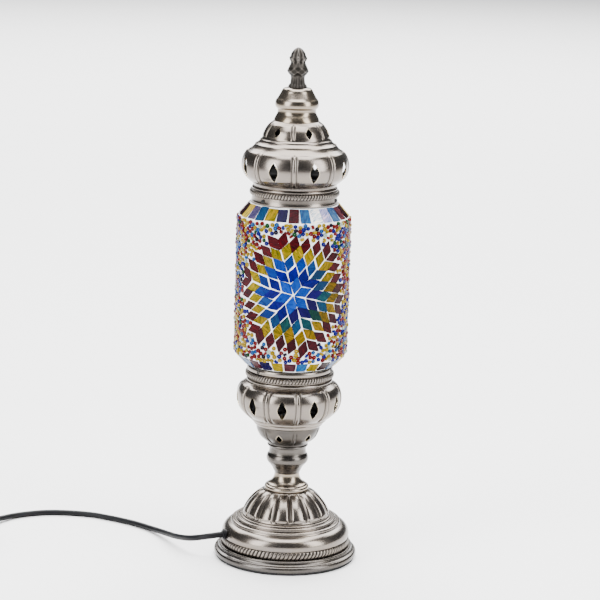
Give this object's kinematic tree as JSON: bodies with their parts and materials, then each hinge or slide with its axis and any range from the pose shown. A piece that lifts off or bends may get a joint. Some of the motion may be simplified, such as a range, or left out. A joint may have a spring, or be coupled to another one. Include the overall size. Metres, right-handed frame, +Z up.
{
  "type": "table lamp",
  "caption": "Table lamp: a pierced metal stem and cap hold a glass tube covered with coloured glass tiles and grout; mains lead with in-line switch and plug.",
  "frame": {"origin": "middle of the felt's underside, on the lamp's axis", "axes": "+Z up along the lamp; -Y is the front, where the first star faces; the lead leaves towards -X"},
  "size_m": [0.4387, 0.2507, 0.4658],
  "materials": {
    "antique_silver": "antique silver plate, brushed round",
    "warm_silver": "antique silver plate, worn to the brass",
    "dark_silver": "antique silver plate, dark in the recesses",
    "blackened_steel": "blackened",
    "zinc_steel": "zinc plated",
    "brass": "plain",
    "felt": "felt",
    "black_plastic": "satin",
    "black_rubber": "soft PVC",
    "frosted_glass": "frosted",
    "clear_glass": "clear",
    "white_grout": "smooth white grout",
    "sky_glass": "streaky",
    "cobalt_glass": "streaky",
    "turquoise_glass": "streaky",
    "amber_glass": "streaky",
    "maroon_glass": "streaky",
    "mixed_glass": "streaky, several colours"
  },
  "bodies": {
    "stand": {"felt_pad": "felt", "base_ring": "antique_silver", "foot_rope": "dark_silver", "foot_shell": "antique_silver", "foot_dome": "antique_silver", "foot_collar": "warm_silver", "stem_vase": "antique_silver", "lower_cup": "antique_silver", "lower_bowl": "antique_silver", "lower_collar": "antique_silver", "lower_rope": "dark_silver", "collar_screws": "blackened_steel", "stem_pipe": "zinc_steel", "pipe_nuts": "brass", "pipe_washers": "zinc_steel", "holder_cap": "black_plastic", "holder_shell": "black_plastic", "holder_thread": "brass", "holder_contact": "brass", "cord_grommet": "black_rubber", "inner_cord": "black_rubber", "cord_lead": "black_rubber", "switch_base": "black_plastic", "switch_cover": "black_plastic", "switch_screws": "zinc_steel", "switch_reliefs": "black_plastic", "cord_run": "black_rubber", "cord_coil": "black_rubber", "cord_tie": "black_rubber", "cord_tail": "black_rubber", "plug_relief": "black_plastic", "plug_body": "black_plastic", "plug_pins": "zinc_steel"},
    "rocker": {"switch_rocker": "black_plastic"},
    "bulb": {"bulb_glass": "frosted_glass", "bulb_cap": "zinc_steel", "bulb_contact": "brass"},
    "shade": {"glass_tube": "clear_glass", "grout_coat": "white_grout", "sky_tiles": "sky_glass", "cobalt_tiles": "cobalt_glass", "turquoise_tiles": "turquoise_glass", "amber_tiles": "amber_glass", "maroon_tiles": "maroon_glass", "shoulder_tiles": "mixed_glass", "skirt_tiles": "mixed_glass"},
    "cap": {"upper_collar": "antique_silver", "upper_rope": "dark_silver", "cap_screws": "blackened_steel", "cap_bridge": "zinc_steel", "cap_rod": "zinc_steel", "cap_nuts": "zinc_steel", "top_bowl": "antique_silver", "upper_cone": "antique_silver", "bell_cap": "antique_silver", "finial": "dark_silver"}
  },
  "joints": [
    {"name": "shade_lift", "type": "slide", "parent": "stand", "child": "shade", "axis": [0, 0, 1], "range_m": [0, 0.09]},
    {"name": "cap_lift", "type": "slide", "parent": "shade", "child": "cap", "axis": [0, 0, 1], "range_m": [0, 0.06]},
    {"name": "bulb_lift", "type": "slide", "parent": "stand", "child": "bulb", "axis": [0, 0, 1], "range_m": [0, 0.03]},
    {"name": "rocker_tilt", "type": "hinge", "parent": "stand", "child": "rocker", "pos_m": [-0.29, -0.019, 0.0115], "axis": [1, 0, 0], "range_deg": [0, 23]}
  ]
}
